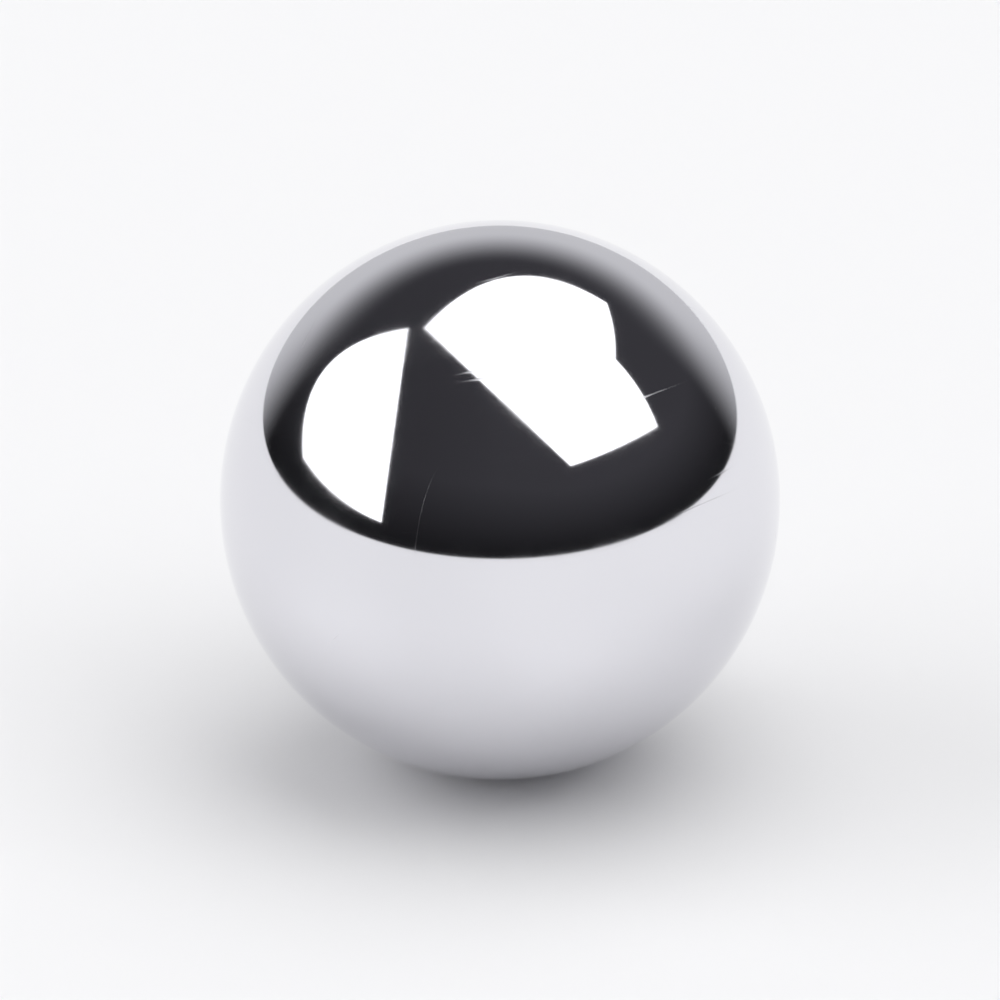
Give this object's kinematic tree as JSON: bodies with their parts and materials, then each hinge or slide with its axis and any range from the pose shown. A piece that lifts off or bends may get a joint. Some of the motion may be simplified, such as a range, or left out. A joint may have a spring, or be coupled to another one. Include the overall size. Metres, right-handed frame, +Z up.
{
  "type": "steel ball",
  "caption": "Small solid steel ball with a mirror-polished surface, which rolls freely and touches a flat surface at one point.",
  "frame": {"origin": "centre of the ball", "axes": "+Z up, away from the surface that the ball lies on; the ball is the same about every axis"},
  "size_m": [0.003, 0.003, 0.003],
  "materials": {
    "polished_steel": "polished"
  },
  "bodies": {
    "root": {"ball": "polished_steel"}
  },
  "joints": []
}
